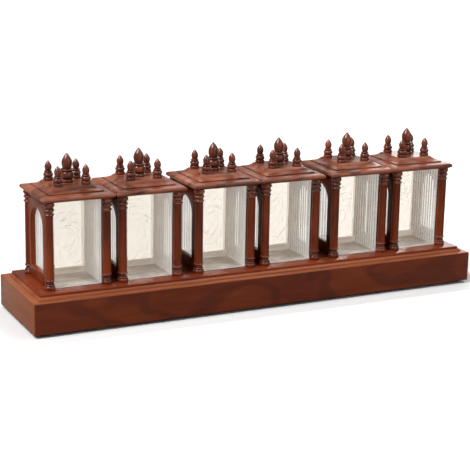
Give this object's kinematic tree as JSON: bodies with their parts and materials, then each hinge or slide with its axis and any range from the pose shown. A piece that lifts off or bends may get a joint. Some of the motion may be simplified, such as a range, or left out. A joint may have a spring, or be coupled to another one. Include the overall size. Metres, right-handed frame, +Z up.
{
  "type": "digital alarm clock",
  "caption": "Wooden digital alarm clock: roofed pavilions with turned columns and arched sides hold stacks of clear digit plates on a lit plinth with sprung keys and a power inlet behind.",
  "frame": {"origin": "on the table under the middle of the clock, at the underside of the felt", "axes": "+X along the clock to the right seen from the front, +Y to the back, +Z up"},
  "size_m": [0.3, 0.067, 0.1008],
  "materials": {
    "rosewood": "glossy reddish-brown rosewood",
    "clear_acrylic": "clear polished acrylic, engraved",
    "comb_plastic": "moulded grey plastic",
    "black_plastic": "black moulded plastic",
    "key_plastic": "smooth black plastic",
    "felt": "black felt",
    "circuit_board": "green solder mask on glass laminate",
    "nylon": "natural nylon",
    "led_lens": "clear epoxy over white light chips",
    "chip_epoxy": "moulded chip epoxy",
    "steel": "bare steel can"
  },
  "bodies": {
    "clock": {"back_columns": "rosewood", "back_finials": "rosewood", "back_rail": "rosewood", "backup_cell": "steel", "board_posts": "nylon", "bottom_cover": "black_plastic", "buzzer": "black_plastic", "cell_holder": "black_plastic", "centre_finials": "rosewood", "clock_chip": "chip_epoxy", "controller_chip": "chip_epoxy", "crystal": "steel", "digit_plates_1": "clear_acrylic", "digit_plates_2": "clear_acrylic", "digit_plates_3": "clear_acrylic", "digit_plates_4": "clear_acrylic", "digit_plates_5": "clear_acrylic", "digit_plates_6": "clear_acrylic", "driver_chips": "chip_epoxy", "felt_pad": "felt", "front_columns": "rosewood", "front_finials": "rosewood", "front_rail": "rosewood", "key_switches": "black_plastic", "led_bars": "led_lens", "left_panels": "rosewood", "left_rail": "rosewood", "light_comb_1": "comb_plastic", "light_comb_2": "comb_plastic", "light_comb_3": "comb_plastic", "light_comb_4": "comb_plastic", "light_comb_5": "comb_plastic", "light_comb_6": "comb_plastic", "main_board": "circuit_board", "platform_board": "rosewood", "power_jack": "black_plastic", "right_panels": "rosewood", "right_rail": "rosewood", "roof_1": "rosewood", "roof_2": "rosewood", "roof_3": "rosewood", "roof_4": "rosewood", "roof_5": "rosewood", "roof_6": "rosewood"},
    "hour_key": {"hour_key": "key_plastic"},
    "minute_key": {"minute_key": "key_plastic"},
    "alarm_key": {"alarm_key": "key_plastic"}
  },
  "joints": [
    {"name": "hour_key_press", "type": "slide", "parent": "clock", "child": "hour_key", "axis": [0, -1, 0], "range_m": [0, 0.001], "stiffness_N_per_m": 1000},
    {"name": "minute_key_press", "type": "slide", "parent": "clock", "child": "minute_key", "axis": [0, -1, 0], "range_m": [0, 0.001], "stiffness_N_per_m": 1000},
    {"name": "alarm_key_press", "type": "slide", "parent": "clock", "child": "alarm_key", "axis": [0, -1, 0], "range_m": [0, 0.001], "stiffness_N_per_m": 1000}
  ]
}
